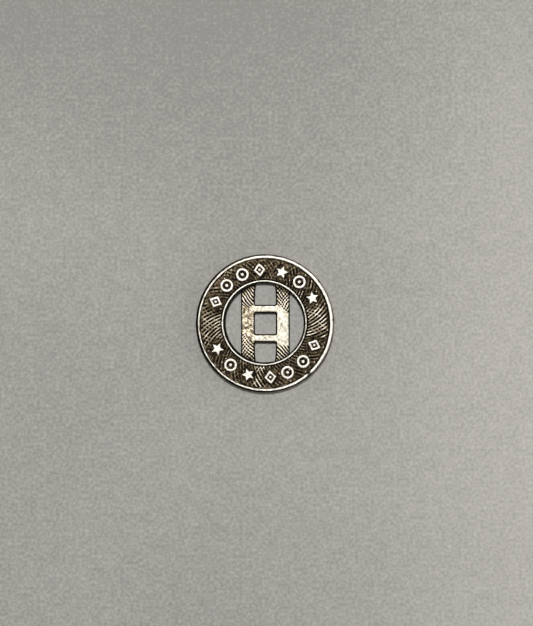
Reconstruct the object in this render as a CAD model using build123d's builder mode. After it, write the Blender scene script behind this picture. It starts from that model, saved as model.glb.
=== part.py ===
from build123d import *

import math
import os

os.makedirs("parts", exist_ok=True)

# ---------------------------------------------------------------------------
# Pierced fare token, struck in white metal (nickel silver).
#
# The real token is one struck and pierced blank. Each node below is one region
# of that blank, and the regions meet face to face: two raised rims, the sunken
# legend band between them, the open bar-work that fills the centre hole, and
# the raised ornaments of the two faces. Nothing moves.
#
# Frame: origin at the centre of the reverse face's rim plane, +Z out of the
# obverse face, +Y towards the top of the design. Millimetres.
# ---------------------------------------------------------------------------

# Whole token
TOKEN_R = 8.25            # 16.5 mm across
TOKEN_T = 1.35            # thickness over the outer rims

# Outer rim: a raised border on both faces
OUTER_RIM_IN_R = 7.72
OUTER_EDGE_R = 0.22       # rounded outer corners
OUTER_LIP_R = 0.06        # rounded inner corners, down to the field

# Inner rim: the raised border round the centre hole
INNER_RIM_OUT_R = 5.14
HOLE_R = 4.65
INNER_RIM_DROP = 0.02     # each face of it lies this far below the outer rim
HOLE_EDGE_R = 0.14        # rounded corners at the hole
INNER_LIP_R = 0.06        # rounded corners at the band

# Sunken band between the rims
FIELD_SINK = 0.18         # depth of each face's field below the rim plane

# Bar-work in the hole: two uprights and two rungs
BAR_SINK = 0.15           # depth of each bar face below the rim plane
BAR_IN_X = 1.26           # window side of an upright
BAR_OUT_X = 2.87          # outer side of an upright
FLARE_Y = 3.0             # the window side starts to flare here
FLARE_IN_X = 1.14         # where the flared side meets the hole's wall
RUNG_Y = 1.75             # height of a rung's middle above the token's middle
RUNG_W = 0.95
RUNG_CORNER_R = 0.16      # rounded window corners
BAR_EDGE_R = 0.07         # softened long edges

# Raised ornaments in the band, the same on both faces
ORNAMENT_PCD_R = 6.42
ORNAMENT_H = 0.14
RING_R = 0.78
RING_STROKE = 0.30
RING_PELLET_R = 0.20
LOZENGE_RADIAL = 0.85     # half diagonal along the radius
LOZENGE_TANGENT = 0.74    # half diagonal across it
LOZENGE_STROKE = 0.27
LOZENGE_PELLET_R = 0.17
STAR_R = 0.86
STAR_IN_R = 0.39

# Clockwise from the top of the design, in degrees: one half of the band's
# ornaments. The other half is the same, turned half a turn.
HALF_ORNAMENTS = [
    (293.8, "lozenge"),
    (314.8, "ring"),
    (335.2, "ring"),
    (354.2, "lozenge"),
    (18.2, "star"),
    (39.6, "ring"),
    (61.8, "star"),
]
ORNAMENTS = HALF_ORNAMENTS + [((a + 180.0) % 360.0, kind) for a, kind in HALF_ORNAMENTS]

FIELD_LOW = FIELD_SINK
FIELD_HIGH = TOKEN_T - FIELD_SINK
BAR_LOW = BAR_SINK
BAR_HIGH = TOKEN_T - BAR_SINK
BAR_T = BAR_HIGH - BAR_LOW


def place(clockwise_deg):
    """Location on the ornaments' circle, with local +Y pointing outwards."""
    a = math.radians(clockwise_deg)
    return Location(
        (ORNAMENT_PCD_R * math.sin(a), ORNAMENT_PCD_R * math.cos(a), 0),
        (0, 0, -clockwise_deg),
    )


def places(kind):
    return [place(a) for a, k in ORNAMENTS if k == kind]


def rhombus(radial, tangent):
    return [(0, radial), (tangent, 0), (0, -radial), (-tangent, 0)]


def lozenge_inset(stroke):
    """How much both half diagonals shrink for a border of this width."""
    side = math.hypot(LOZENGE_RADIAL, LOZENGE_TANGENT)
    return stroke * side / (LOZENGE_RADIAL * LOZENGE_TANGENT)


def star_points():
    points = []
    for i in range(10):
        r = STAR_R if i % 2 == 0 else STAR_IN_R
        a = math.radians(36.0 * i)
        points.append((r * math.sin(a), r * math.cos(a)))
    return points


# ---------------------------------------------------------------------------
# Outer rim
# ---------------------------------------------------------------------------
with BuildPart() as outer_rim:
    with BuildSketch(Plane.XZ):
        with Locations(((OUTER_RIM_IN_R + TOKEN_R) / 2, TOKEN_T / 2)):
            Rectangle(TOKEN_R - OUTER_RIM_IN_R, TOKEN_T)
    revolve(axis=Axis.Z)
    outer_edges = (
        outer_rim.edges()
        .filter_by(GeomType.CIRCLE)
        .filter_by(lambda e: abs(e.radius - TOKEN_R) < 1e-6)
    )
    fillet(outer_edges, OUTER_EDGE_R)
    lip_edges = (
        outer_rim.edges()
        .filter_by(GeomType.CIRCLE)
        .filter_by(lambda e: abs(e.radius - OUTER_RIM_IN_R) < 1e-6)
    )
    fillet(lip_edges, OUTER_LIP_R)
outer_rim.part.label = "outer_rim"
export_step(outer_rim.part, "parts/outer_rim.step")

# ---------------------------------------------------------------------------
# Sunken legend band
# ---------------------------------------------------------------------------
with BuildPart() as field_band:
    with BuildSketch(Plane.XY.offset(FIELD_LOW)):
        Circle(OUTER_RIM_IN_R)
        Circle(INNER_RIM_OUT_R, mode=Mode.SUBTRACT)
    extrude(amount=FIELD_HIGH - FIELD_LOW)
field_band.part.label = "field_band"
export_step(field_band.part, "parts/field_band.step")

# ---------------------------------------------------------------------------
# Inner rim, round the centre hole
# ---------------------------------------------------------------------------
with BuildPart() as inner_rim:
    with BuildSketch(Plane.XY.offset(INNER_RIM_DROP)):
        Circle(INNER_RIM_OUT_R)
        Circle(HOLE_R, mode=Mode.SUBTRACT)
    extrude(amount=TOKEN_T - 2 * INNER_RIM_DROP)
    rim_circles = inner_rim.edges().filter_by(GeomType.CIRCLE)
    hole_edges = rim_circles.filter_by(lambda e: abs(e.radius - HOLE_R) < 1e-6)
    fillet(hole_edges, HOLE_EDGE_R)
    lip_circles = (
        inner_rim.edges()
        .filter_by(GeomType.CIRCLE)
        .filter_by(lambda e: abs(e.radius - INNER_RIM_OUT_R) < 1e-6)
    )
    fillet(lip_circles, INNER_LIP_R)
inner_rim.part.label = "inner_rim"
export_step(inner_rim.part, "parts/inner_rim.step")

# ---------------------------------------------------------------------------
# Bar-work: the right upright, and the left one as its mirror image.
# Its ends are cut to the hole's wall, and its window side flares there.
# ---------------------------------------------------------------------------
flare_y = math.sqrt(HOLE_R**2 - FLARE_IN_X**2)
outer_y = math.sqrt(HOLE_R**2 - BAR_OUT_X**2)

with BuildPart() as right_upright:
    with BuildSketch(Plane.XY.offset(BAR_LOW)):
        with BuildLine():
            Line((BAR_OUT_X, -outer_y), (BAR_OUT_X, outer_y))
            RadiusArc((BAR_OUT_X, outer_y), (FLARE_IN_X, flare_y), -HOLE_R)
            TangentArc((BAR_IN_X, FLARE_Y), (FLARE_IN_X, flare_y), tangent=(0, 1))
            Line((BAR_IN_X, FLARE_Y), (BAR_IN_X, -FLARE_Y))
            TangentArc((BAR_IN_X, -FLARE_Y), (FLARE_IN_X, -flare_y), tangent=(0, -1))
            RadiusArc((FLARE_IN_X, -flare_y), (BAR_OUT_X, -outer_y), -HOLE_R)
        make_face()
    extrude(amount=BAR_T)
    outer_long_edges = (
        right_upright.edges()
        .filter_by(Axis.Y)
        .filter_by(lambda e: abs(e.center().X - BAR_OUT_X) < 1e-6)
    )
    fillet(outer_long_edges, BAR_EDGE_R)
right_upright.part.label = "right_upright"
export_step(right_upright.part, "parts/right_upright.step")

with BuildPart() as left_upright:
    add(right_upright.part)
    mirror(about=Plane.YZ, mode=Mode.REPLACE)
left_upright.part.label = "left_upright"
export_step(left_upright.part, "parts/left_upright.step")


# ---------------------------------------------------------------------------
# Bar-work: the two rungs between the uprights, with rounded window corners
# ---------------------------------------------------------------------------
def rung_outline(mid_y):
    """Corner points and arc middles of one rung, anticlockwise from its lower left."""
    c = RUNG_CORNER_R
    k = c * (1 - math.sqrt(0.5))
    x, h = BAR_IN_X, RUNG_W / 2
    lo, hi = mid_y - h, mid_y + h
    return [
        ((-x, lo - c), (-x + k, lo - k), (-x + c, lo)),
        ((x - c, lo), (x - k, lo - k), (x, lo - c)),
        ((x, hi + c), (x - k, hi + k), (x - c, hi)),
        ((-x + c, hi), (-x + k, hi + k), (-x, hi + c)),
    ]


upper_corners = rung_outline(RUNG_Y)
with BuildPart() as upper_rung:
    with BuildSketch(Plane.XY.offset(BAR_LOW)):
        with BuildLine():
            for a, m, b in upper_corners:
                ThreePointArc(a, m, b)
            for (_, _, b), (a, _, _) in zip(upper_corners, upper_corners[1:] + upper_corners[:1]):
                Line(b, a)
        make_face()
    extrude(amount=BAR_T)
upper_rung.part.label = "upper_rung"
export_step(upper_rung.part, "parts/upper_rung.step")

lower_corners = rung_outline(-RUNG_Y)
with BuildPart() as lower_rung:
    with BuildSketch(Plane.XY.offset(BAR_LOW)):
        with BuildLine():
            for a, m, b in lower_corners:
                ThreePointArc(a, m, b)
            for (_, _, b), (a, _, _) in zip(lower_corners, lower_corners[1:] + lower_corners[:1]):
                Line(b, a)
        make_face()
    extrude(amount=BAR_T)
lower_rung.part.label = "lower_rung"
export_step(lower_rung.part, "parts/lower_rung.step")

# ---------------------------------------------------------------------------
# Raised ornaments: rings with a pellet, open lozenges with a pellet, stars.
# Each face's set stands on that face's field.
# ---------------------------------------------------------------------------
inset = lozenge_inset(LOZENGE_STROKE)

with BuildPart() as obverse_ornaments:
    with BuildSketch(Plane.XY.offset(FIELD_HIGH)):
        with Locations(*places("ring")):
            Circle(RING_R)
            Circle(RING_R - RING_STROKE, mode=Mode.SUBTRACT)
        with Locations(*places("lozenge")):
            Polygon(*rhombus(LOZENGE_RADIAL, LOZENGE_TANGENT))
            Polygon(
                *rhombus(LOZENGE_RADIAL * (1 - inset), LOZENGE_TANGENT * (1 - inset)),
                mode=Mode.SUBTRACT,
            )
        with Locations(*places("star")):
            Polygon(*star_points(), align=None)
        with Locations(*places("ring")):
            Circle(RING_PELLET_R)
        with Locations(*places("lozenge")):
            Circle(LOZENGE_PELLET_R)
    extrude(amount=ORNAMENT_H)
obverse_ornaments.part.label = "obverse_ornaments"
export_step(obverse_ornaments.part, "parts/obverse_ornaments.step")

with BuildPart() as reverse_ornaments:
    add(obverse_ornaments.part)
    mirror(about=Plane.XY.offset(TOKEN_T / 2), mode=Mode.REPLACE)
reverse_ornaments.part.label = "reverse_ornaments"
export_step(reverse_ornaments.part, "parts/reverse_ornaments.step")

pieces = [
    outer_rim, field_band, inner_rim, left_upright, right_upright,
    upper_rung, lower_rung, obverse_ornaments, reverse_ornaments,
]
volume = sum(p.part.volume for p in pieces)
print(f"metal volume {volume:.2f} mm3, {volume * 8.7e-3:.3f} g at 8.7 g/cm3")
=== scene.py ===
import math

import bpy
import numpy as np
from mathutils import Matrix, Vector
from mathutils.geometry import delaunay_2d_cdt


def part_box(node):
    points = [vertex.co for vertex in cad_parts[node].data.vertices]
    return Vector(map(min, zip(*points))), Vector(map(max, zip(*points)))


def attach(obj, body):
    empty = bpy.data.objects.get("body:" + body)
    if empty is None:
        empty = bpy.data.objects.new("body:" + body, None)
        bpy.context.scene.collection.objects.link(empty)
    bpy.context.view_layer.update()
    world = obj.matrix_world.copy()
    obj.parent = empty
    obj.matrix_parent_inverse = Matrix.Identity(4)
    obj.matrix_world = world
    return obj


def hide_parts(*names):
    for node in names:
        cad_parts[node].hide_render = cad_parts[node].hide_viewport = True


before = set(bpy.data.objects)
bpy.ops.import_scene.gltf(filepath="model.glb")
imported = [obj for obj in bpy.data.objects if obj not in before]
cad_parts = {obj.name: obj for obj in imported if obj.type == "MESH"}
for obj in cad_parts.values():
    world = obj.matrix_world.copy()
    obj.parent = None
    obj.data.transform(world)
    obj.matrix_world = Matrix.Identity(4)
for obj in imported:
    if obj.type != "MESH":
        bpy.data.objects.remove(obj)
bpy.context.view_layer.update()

# ---------------------------------------------------------------------------
# Sizes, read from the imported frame, in millimetres
# ---------------------------------------------------------------------------
MM = 0.001


def box_mm(node):
    low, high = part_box(node)
    return np.array(low) * 1000.0, np.array(high) * 1000.0


_, rim_high = box_mm("outer_rim")
TOKEN_R, TOKEN_T = float(rim_high[0]), float(rim_high[2])
band_low, band_high = box_mm("field_band")
BAND_R1, BAND_Z0, BAND_Z1 = float(band_high[0]), float(band_low[2]), float(band_high[2])
inner_low, inner_high = box_mm("inner_rim")
INNER_R1, INNER_Z0, INNER_Z1 = float(inner_high[0]), float(inner_low[2]), float(inner_high[2])
bar_low, bar_high = box_mm("right_upright")
BAR_X1, BAR_Z0, BAR_Z1 = float(bar_high[0]), float(bar_low[2]), float(bar_high[2])
FLARE_X = float(bar_low[0])
HOLE_R = math.hypot(FLARE_X, float(bar_high[1]))
rung_low, rung_high = box_mm("upper_rung")
BAR_X0 = float(rung_high[0])
CORNER = 0.16
RUNG_Y0, RUNG_Y1 = float(rung_low[1]) + CORNER, float(rung_high[1]) - CORNER
FLARE_Y = 3.0
relief_low, relief_high = box_mm("obverse_ornaments")
RELIEF_Z1 = float(relief_high[2])

ORNAMENT_R = 6.42
HALF = [
    (293.8, "lozenge"), (314.8, "ring"), (335.2, "ring"), (354.2, "lozenge"),
    (18.2, "star"), (39.6, "ring"), (61.8, "star"),
]
ORNAMENTS = HALF + [((a + 180.0) % 360.0, k) for a, k in HALF]


# ---------------------------------------------------------------------------
# Smooth seeded noise and small tools
# ---------------------------------------------------------------------------
def lattice(i, j, seed):
    n = (i * 374761393 + j * 668265263 + seed * 974634777) & 0xFFFFFFFF
    n = ((n ^ (n >> 13)) * 1274126177) & 0xFFFFFFFF
    return ((n ^ (n >> 16)) & 0xFFFF) / 65535.0


def noise(x, y, seed=0, wrap=None):
    """Value noise from 0 to 1; wrap is the whole number of cells after which x repeats."""
    xi, yi = np.floor(x).astype(np.int64), np.floor(y).astype(np.int64)
    fx, fy = x - xi, y - yi
    fx, fy = fx * fx * (3 - 2 * fx), fy * fy * (3 - 2 * fy)
    x1 = xi + 1
    if wrap:
        xi, x1 = np.mod(xi, wrap), np.mod(x1, wrap)
    a, b = lattice(xi, yi, seed), lattice(x1, yi, seed)
    c, d = lattice(xi, yi + 1, seed), lattice(x1, yi + 1, seed)
    return (a * (1 - fx) + b * fx) * (1 - fy) + (c * (1 - fx) + d * fx) * fy


def layered(x, y, seed=0, octaves=3, wrap=None):
    total, weight, amp = 0.0, 0.0, 1.0
    for k in range(octaves):
        m = 2**k
        total = total + amp * noise(x * m, y * m, seed + 17 * k, wrap * m if wrap else None)
        weight += amp
        amp *= 0.5
    return total / weight


def step(a, b, x):
    t = np.clip((x - a) / (b - a), 0.0, 1.0)
    return t * t * (3 - 2 * t)


def clockwise(theta):
    """Clock angle in degrees, from the top, of a mathematical angle in radians."""
    return np.mod(90.0 - np.degrees(theta), 360.0)


def near_angle(clock, at, width):
    d = np.abs(np.mod(clock - at + 180.0, 360.0) - 180.0)
    return np.exp(-((d / width) ** 2))


def to_segments(points, loops):
    """Distance from each point to the nearest edge of the closed loops."""
    a = np.concatenate([l for l in loops])
    b = np.concatenate([np.roll(l, -1, axis=0) for l in loops])
    return to_edges(points, a, b)


def to_edges(points, a, b):
    best = np.full(len(points), 1e9)
    ab = b - a
    ll = np.maximum((ab**2).sum(1), 1e-18)
    for s in range(0, len(points), 2000):
        p = points[s:s + 2000]
        ap = p[:, None, :] - a[None]
        t = np.clip((ap * ab[None]).sum(2) / ll[None], 0, 1)
        d = ap - t[..., None] * ab[None]
        best[s:s + 2000] = np.sqrt((d**2).sum(2).min(1))
    return best


def within(points, loops):
    """Even-odd test against closed loops."""
    odd = np.zeros(len(points), bool)
    x, y = points[:, 0], points[:, 1]
    for l in loops:
        for (x0, y0), (x1, y1) in zip(l, np.roll(l, -1, axis=0)):
            cross = (y0 > y) != (y1 > y)
            if cross.any():
                odd ^= cross & (x < (x1 - x0) * (y - y0) / (y1 - y0 + 1e-18) + x0)
    return odd


def resample(points, gap, closed=True):
    """Evenly spaced points along a polyline."""
    p = np.array(points, float)
    q = np.vstack([p, p[:1]]) if closed else p
    d = np.concatenate([[0], np.cumsum(np.hypot(*np.diff(q, axis=0).T))])
    n = max(8, int(round(d[-1] / gap)))
    s = np.linspace(0, d[-1], n + 1)
    out = np.stack([np.interp(s, d, q[:, 0]), np.interp(s, d, q[:, 1])], 1)
    return out[:-1] if closed else out


def round_corners(corners, radius, arc=6):
    """A closed polygon with each corner replaced by a small arc."""
    c = np.array(corners, float)
    out = []
    for i in range(len(c)):
        p, a, b = c[i], c[i - 1], c[(i + 1) % len(c)]
        u, v = (a - p) / np.linalg.norm(a - p), (b - p) / np.linalg.norm(b - p)
        half = math.acos(float(np.clip(u @ v, -1, 1))) / 2
        cut = min(radius / math.tan(half), 0.45 * min(np.linalg.norm(a - p), np.linalg.norm(b - p)))
        r = cut * math.tan(half)
        mid = p + (u + v) / np.linalg.norm(u + v) * (r / math.sin(half))
        s, e = p + u * cut - mid, p + v * cut - mid
        a0, a1 = math.atan2(s[1], s[0]), math.atan2(e[1], e[0])
        turn = (a1 - a0 + math.pi) % (2 * math.pi) - math.pi
        for k in range(arc + 1):
            t = a0 + turn * k / arc
            out.append(mid + r * np.array([math.cos(t), math.sin(t)]))
    return np.array(out)


def inward(loop, metal_left=True):
    """Unit normals pointing into the metal; the metal is left of an anticlockwise outer loop."""
    t = np.roll(loop, -1, axis=0) - np.roll(loop, 1, axis=0)
    t /= np.maximum(np.linalg.norm(t, axis=1, keepdims=True), 1e-12)
    n = np.stack([-t[:, 1], t[:, 0]], 1)
    return n if metal_left else -n


# ---------------------------------------------------------------------------
# Mesh building
# ---------------------------------------------------------------------------
def build(name, verts, faces, uvs, attributes, material, nodes):
    """faces: list of (n, k) index arrays; uvs: matching list of (n, k, 2) arrays."""
    mesh = bpy.data.meshes.new(name)
    mesh.vertices.add(len(verts))
    mesh.vertices.foreach_set("co", (np.asarray(verts, np.float64) * MM).astype(np.float32).ravel())
    loops = np.concatenate([f.ravel() for f in faces]).astype(np.int32)
    sizes = np.concatenate([np.full(len(f), f.shape[1], np.int32) for f in faces])
    starts = np.concatenate([[0], np.cumsum(sizes)[:-1]]).astype(np.int32)
    mesh.loops.add(len(loops))
    mesh.loops.foreach_set("vertex_index", loops)
    mesh.polygons.add(len(sizes))
    mesh.polygons.foreach_set("loop_start", starts)
    mesh.update(calc_edges=True)
    mesh.polygons.foreach_set("use_smooth", np.ones(len(sizes), bool))
    layer = mesh.uv_layers.new(name="OFBake")
    flat = np.concatenate([u.reshape(-1, 2) for u in uvs]).astype(np.float32)
    layer.data.foreach_set("uv", flat.ravel())
    for key, values in attributes.items():
        a = mesh.attributes.new(key, "FLOAT", "POINT")
        a.data.foreach_set("value", np.asarray(values, np.float32))
    mesh.materials.append(material)
    mesh.validate()
    obj = bpy.data.objects.new(name, mesh)
    bpy.context.scene.collection.objects.link(obj)
    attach(obj, "root")
    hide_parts(*nodes)
    return obj


def ring_grid(rows, columns):
    """Quads of a grid that closes on itself both ways; vertex index is column * rows + row."""
    c = np.arange(columns)
    r = np.arange(rows)
    cc, rr = np.meshgrid(c, r, indexing="ij")
    c1, r1 = (cc + 1) % columns, (rr + 1) % rows
    f = np.stack([cc * rows + rr, cc * rows + r1, c1 * rows + r1, c1 * rows + rr], -1)
    return f.reshape(-1, 4), cc.ravel(), rr.ravel()


def rim_profile(r0, r1, z0, z1, outer_r, inner_r, gaps):
    """Closed (r, z) outline of a rim, anticlockwise from the outer side's foot, with its unit normals."""
    pts = []

    def arc(cx, cz, rad, a0, a1, n):
        for k in range(n):
            a = math.radians(a0 + (a1 - a0) * k / n)
            pts.append((cx + rad * math.cos(a), cz + rad * math.sin(a), math.cos(a), math.sin(a)))

    def line(a, b, n, nr, nz):
        for k in range(n):
            t = k / n
            pts.append((a[0] + (b[0] - a[0]) * t, a[1] + (b[1] - a[1]) * t, nr, nz))

    side, corner_o, land, corner_i, wall = gaps
    line((r1, z0 + outer_r), (r1, z1 - outer_r), side, 1, 0)
    arc(r1 - outer_r, z1 - outer_r, outer_r, 0, 90, corner_o)
    line((r1 - outer_r, z1), (r0 + inner_r, z1), land, 0, 1)
    arc(r0 + inner_r, z1 - inner_r, inner_r, 90, 180, corner_i)
    line((r0, z1 - inner_r), (r0, z0 + inner_r), wall, -1, 0)
    arc(r0 + inner_r, z0 + inner_r, inner_r, 180, 270, corner_i)
    line((r0 + inner_r, z0), (r1 - outer_r, z0), land, 0, -1)
    arc(r1 - outer_r, z0 + outer_r, outer_r, 270, 360, corner_o)
    return np.array(pts)


def rim_uv(faces, cc, rr, columns, rows, lengths):
    """Unrolled: along the turn in u, along the outline in v."""
    v = np.concatenate([[0], np.cumsum(lengths)]) / np.sum(lengths)
    u0, u1 = cc / columns, (cc + 1) / columns
    v0, v1 = v[rr], v[rr + 1]
    uv = np.stack([np.stack([u0, v0], -1), np.stack([u0, v1], -1), np.stack([u1, v1], -1), np.stack([u1, v0], -1)], 1)
    return uv * 0.998 + 0.001


# ---------------------------------------------------------------------------
# Materials: worn nickel silver over a dark toned skin
# ---------------------------------------------------------------------------
def nodes_of(material):
    material.use_nodes = True
    tree = material.node_tree
    tree.nodes.clear()
    return tree, tree.nodes, tree.links


def ramp(nodes, stops):
    n = nodes.new("ShaderNodeValToRGB")
    e = n.color_ramp.elements
    while len(e) > 1:
        e.remove(e[0])
    e[0].position, e[0].color = stops[0][0], (*stops[0][1], 1)
    for pos, colour in stops[1:]:
        k = e.new(pos)
        k.color = (*colour, 1)
    return n


def maths(nodes, links, op, a, b=None, clamp=False):
    n = nodes.new("ShaderNodeMath")
    n.operation = op
    n.use_clamp = clamp
    for i, v in enumerate((a, b)):
        if v is None:
            continue
        if isinstance(v, (int, float)):
            n.inputs[i].default_value = v
        else:
            links.new(v, n.inputs[i])
    return n.outputs[0]


def mix_colour(nodes, links, mode, factor, a, b):
    n = nodes.new("ShaderNodeMix")
    n.data_type = "RGBA"
    n.blend_type = mode
    for socket, v in ((n.inputs[0], factor), (n.inputs[6], a), (n.inputs[7], b)):
        if isinstance(v, (int, float)):
            socket.default_value = v
        elif isinstance(v, tuple):
            socket.default_value = (*v, 1)
        else:
            links.new(v, socket)
    return n.outputs[2]


def token_metal(name, tones, tint=None, tint_size=0.28, grain=0.35, fine=0.12, scratch=0.5, bump=0.5, rough=(0.62, 0.54, 0.50), low_metal=0.85):
    """tones: colour stops over exposure, from the deepest toning (0) to rubbed metal (1)."""
    m = bpy.data.materials.new(name)
    tree, nodes, links = nodes_of(m)
    out = nodes.new("ShaderNodeOutputMaterial")
    bsdf = nodes.new("ShaderNodeBsdfPrincipled")
    links.new(bsdf.outputs[0], out.inputs[0])

    coord = nodes.new("ShaderNodeTexCoord").outputs["Object"]
    scale = nodes.new("ShaderNodeVectorMath")
    scale.operation = "SCALE"
    scale.inputs["Scale"].default_value = 1000.0
    links.new(coord, scale.inputs[0])
    mm = scale.outputs[0]

    def tex(size, detail=3.0, roughness=0.6, stretch=None, turn=0.0):
        source = mm
        if stretch:
            g = nodes.new("ShaderNodeMapping")
            g.inputs["Scale"].default_value = stretch
            g.inputs["Rotation"].default_value = (0, 0, turn)
            links.new(mm, g.inputs[0])
            source = g.outputs[0]
        n = nodes.new("ShaderNodeTexNoise")
        n.inputs["Scale"].default_value = 1.0 / size
        n.inputs["Detail"].default_value = detail
        n.inputs["Roughness"].default_value = roughness
        links.new(source, n.inputs["Vector"])
        return n.outputs[0]

    attribute = nodes.new("ShaderNodeAttribute")
    attribute.attribute_name = "exposure"
    exposure = attribute.outputs["Fac"]

    blotch = maths(nodes, links, "SUBTRACT", tex(0.55, 4.0, 0.62), 0.5)
    speck = maths(nodes, links, "SUBTRACT", tex(0.06, 2.0, 0.5), 0.5)
    e = maths(nodes, links, "MULTIPLY", blotch, grain)
    e = maths(nodes, links, "ADD", e, exposure)
    e = maths(nodes, links, "ADD", e, maths(nodes, links, "MULTIPLY", speck, fine), clamp=True)

    tone = ramp(nodes, tones)
    links.new(e, tone.inputs[0])
    colour = tone.outputs[0]
    if tint:
        hue = nodes.new("ShaderNodeAttribute")
        hue.attribute_name = "hue"
        warm = ramp(nodes, tint)
        links.new(tex(tint_size, 2.0, 0.55), warm.inputs[0])
        colour = mix_colour(nodes, links, "MULTIPLY", hue.outputs["Fac"], colour, warm.outputs[0])
    links.new(colour, bsdf.inputs["Base Color"])

    metal = nodes.new("ShaderNodeMapRange")
    metal.inputs["From Min"].default_value, metal.inputs["From Max"].default_value = 0.10, 0.55
    metal.inputs["To Min"].default_value, metal.inputs["To Max"].default_value = low_metal, 1.0
    links.new(e, metal.inputs["Value"])
    links.new(metal.outputs[0], bsdf.inputs["Metallic"])

    gloss = ramp(nodes, [(0.0, (rough[0],) * 3), (0.5, (rough[1],) * 3), (1.0, (rough[2],) * 3)])
    links.new(e, gloss.inputs[0])
    r = nodes.new("ShaderNodeRGBToBW")
    links.new(gloss.outputs[0], r.inputs[0])
    smear = maths(nodes, links, "MULTIPLY", maths(nodes, links, "SUBTRACT", tex(0.35, 5.0, 0.7), 0.5), 0.22)
    links.new(maths(nodes, links, "ADD", r.outputs[0], smear, clamp=True), bsdf.inputs["Roughness"])

    # Hairline rubs in three directions and a fine grain, as relief
    lines = maths(nodes, links, "ADD",
                  tex(0.10, 2.0, 0.5, (1.0, 0.06, 1.0), 0.5),
                  tex(0.08, 2.0, 0.5, (1.0, 0.05, 1.0), -0.9))
    lines = maths(nodes, links, "ADD", lines, tex(0.12, 2.0, 0.5, (1.0, 0.05, 1.0), 1.9))
    height = maths(nodes, links, "ADD",
                   maths(nodes, links, "MULTIPLY", lines, scratch),
                   maths(nodes, links, "MULTIPLY", tex(0.05, 3.0, 0.6), 0.8))
    b = nodes.new("ShaderNodeBump")
    b.inputs["Strength"].default_value = bump
    b.inputs["Distance"].default_value = 0.004 * MM
    links.new(height, b.inputs["Height"])
    links.new(b.outputs[0], bsdf.inputs["Normal"])
    return m


RIM_TONES = [
    (0.00, (0.004, 0.003, 0.002)), (0.22, (0.020, 0.016, 0.011)), (0.45, (0.125, 0.105, 0.080)),
    (0.68, (0.38, 0.35, 0.295)), (0.86, (0.68, 0.65, 0.585)), (1.00, (0.86, 0.84, 0.78)),
]
BAND_TONES = [
    (0.00, (0.002, 0.0015, 0.001)), (0.16, (0.020, 0.014, 0.008)), (0.36, (0.105, 0.079, 0.047)),
    (0.58, (0.265, 0.21, 0.141)), (0.80, (0.63, 0.555, 0.435)), (1.00, (0.93, 0.875, 0.765)),
]
BAR_TONES = [
    (0.00, (0.003, 0.002, 0.001)), (0.20, (0.026, 0.020, 0.013)), (0.42, (0.168, 0.138, 0.086)),
    (0.64, (0.40, 0.350, 0.262)), (0.84, (0.65, 0.628, 0.530)), (1.00, (0.93, 0.89, 0.77)),
]
RELIEF_TONES = [
    (0.00, (0.004, 0.003, 0.002)), (0.25, (0.045, 0.034, 0.023)), (0.50, (0.26, 0.22, 0.17)),
    (0.75, (0.60, 0.56, 0.495)), (1.00, (0.84, 0.82, 0.77)),
]
BAR_TINT = [(0.34, (0.76, 0.70, 0.92)), (0.43, (1.0, 0.82, 0.83)), (0.52, (1.0, 0.98, 0.95)), (0.60, (1.0, 0.93, 0.57)), (0.68, (0.83, 0.92, 0.68))]
BAND_TINT = [(0.36, (0.88, 0.96, 0.74)), (0.50, (1.0, 0.97, 0.92)), (0.64, (1.0, 0.82, 0.73))]
rim_metal = token_metal("worn_rim", RIM_TONES, tint=BAND_TINT, tint_size=0.5, grain=0.30, fine=0.12, scratch=0.6, bump=0.55)
band_metal = token_metal("toned_band", BAND_TONES, tint=BAND_TINT, tint_size=0.42, grain=0.38, fine=0.22, scratch=0.25, bump=0.45, rough=(0.62, 0.56, 0.50))
bar_metal = token_metal("rubbed_bars", BAR_TONES, tint=BAR_TINT, tint_size=0.24, grain=0.30, fine=0.22, scratch=0.6, bump=0.6)
relief_metal = token_metal("rubbed_relief", RELIEF_TONES, tint=BAR_TINT, tint_size=0.30, grain=0.24, fine=0.14, scratch=0.5, bump=0.5)


# ---------------------------------------------------------------------------
# Outer rim: flat rubbed land, rounded edge, nicks and rim dings
# ---------------------------------------------------------------------------
NICKS = [
    # clock angle, radius, reach along the turn (mm), reach across (mm), depth
    (138.6, 7.92, 0.19, 0.20, 0.085),
    (140.6, 8.12, 0.15, 0.13, 0.060),
    (87.0, 8.16, 0.13, 0.13, 0.070),
    (313.5, 8.19, 0.10, 0.10, 0.040),
    (10.0, 8.12, 0.30, 0.10, 0.030),
    (24.5, 7.80, 0.10, 0.07, 0.022),
    (52.0, 8.17, 0.12, 0.10, 0.035),
    (66.0, 7.84, 0.12, 0.06, 0.018),
    (103.0, 8.18, 0.16, 0.10, 0.030),
    (118.5, 7.80, 0.10, 0.07, 0.020),
    (159.0, 8.15, 0.10, 0.10, 0.030),
    (171.0, 7.86, 0.07, 0.07, 0.020),
    (183.0, 8.12, 0.22, 0.10, 0.028),
    (206.0, 7.82, 0.10, 0.07, 0.018),
    (229.0, 8.13, 0.15, 0.14, 0.034),
    (247.0, 7.92, 0.07, 0.10, 0.016),
    (268.0, 8.12, 0.20, 0.10, 0.028),
    (291.0, 7.86, 0.06, 0.08, 0.016),
    (308.0, 8.14, 0.18, 0.12, 0.032),
    (331.0, 7.83, 0.10, 0.06, 0.018),
    (346.0, 8.15, 0.14, 0.10, 0.030),
]


def nick_depth(theta, r, seed_shift=0.0, scale=1.0):
    clock = clockwise(theta)
    total = np.zeros_like(r)
    for at, radius, along, across, depth in NICKS:
        d = (np.mod(clock - at - seed_shift + 180.0, 360.0) - 180.0) * math.pi / 180.0 * r
        total += scale * depth * np.exp(-((d / along) ** 2) - ((r - radius) / across) ** 2)
    return total


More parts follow.
